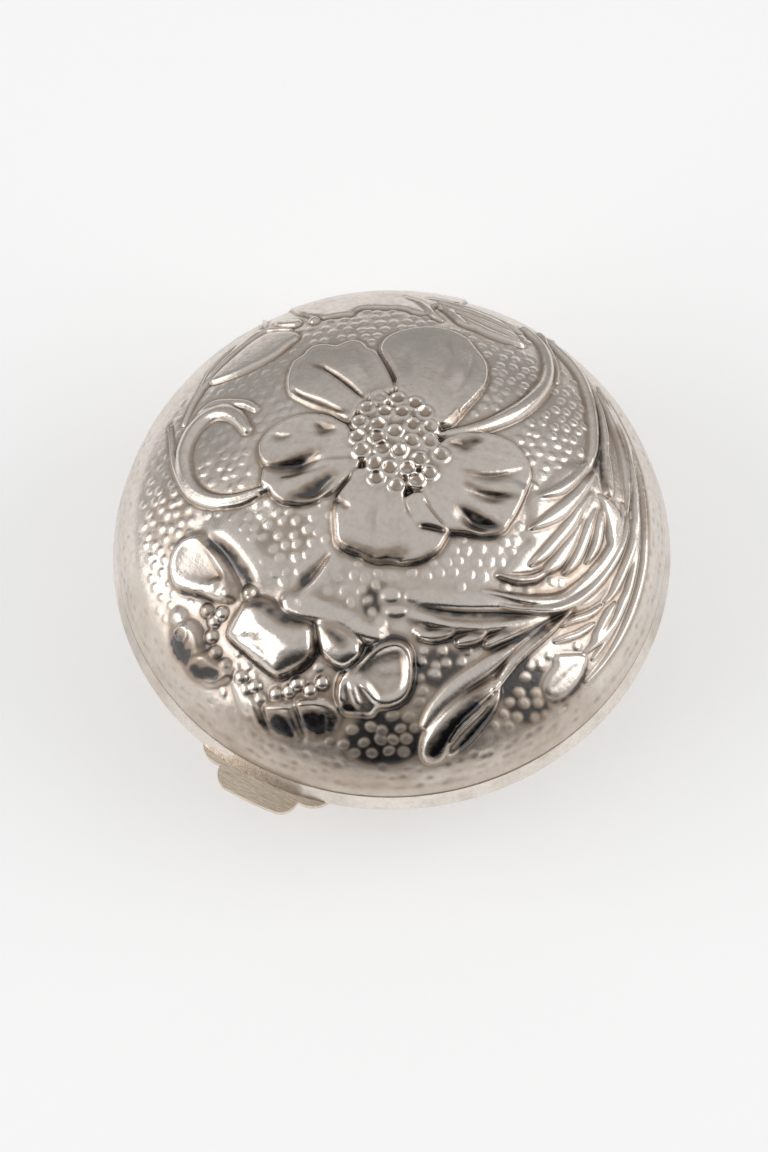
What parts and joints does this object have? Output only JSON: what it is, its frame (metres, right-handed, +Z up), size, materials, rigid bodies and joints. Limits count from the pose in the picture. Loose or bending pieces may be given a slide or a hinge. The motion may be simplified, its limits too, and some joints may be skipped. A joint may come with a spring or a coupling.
{
  "type": "rosary box",
  "caption": "Small round box with a domed repoussé lid on a rear hinge, a shallow dished base with an inner collar, and a front thumb piece.",
  "frame": {"origin": "centre of the flat underside that the box rests on", "axes": "+Z up through the crown of the lid, -Y towards the thumb piece, +Y towards the hinge, +X to the right seen from the front"},
  "size_m": [0.05, 0.0528, 0.0257],
  "materials": {
    "chased_silver": "satin",
    "rim_silver": "satin",
    "worn_silver": "satin",
    "plain_silver": "gloss",
    "hinge_silver": "satin"
  },
  "bodies": {
    "base": {"base_shell": "plain_silver", "base_rim": "rim_silver", "base_collar": "plain_silver", "base_hinge_bearer": "rim_silver", "base_knuckle_left": "hinge_silver", "base_knuckle_centre": "hinge_silver", "base_knuckle_right": "hinge_silver", "hinge_pin": "hinge_silver"},
    "lid": {"lid_shell": "chased_silver", "lid_band": "rim_silver", "thumb_piece": "worn_silver", "lid_hinge_bearer": "rim_silver", "lid_knuckle_left": "hinge_silver", "lid_knuckle_right": "hinge_silver"}
  },
  "joints": [
    {"name": "lid_hinge", "type": "hinge", "parent": "base", "child": "lid", "pos_m": [0, 0.02507, 0.00905], "axis": [-1, 0, 0], "range_deg": [0, 105]}
  ]
}
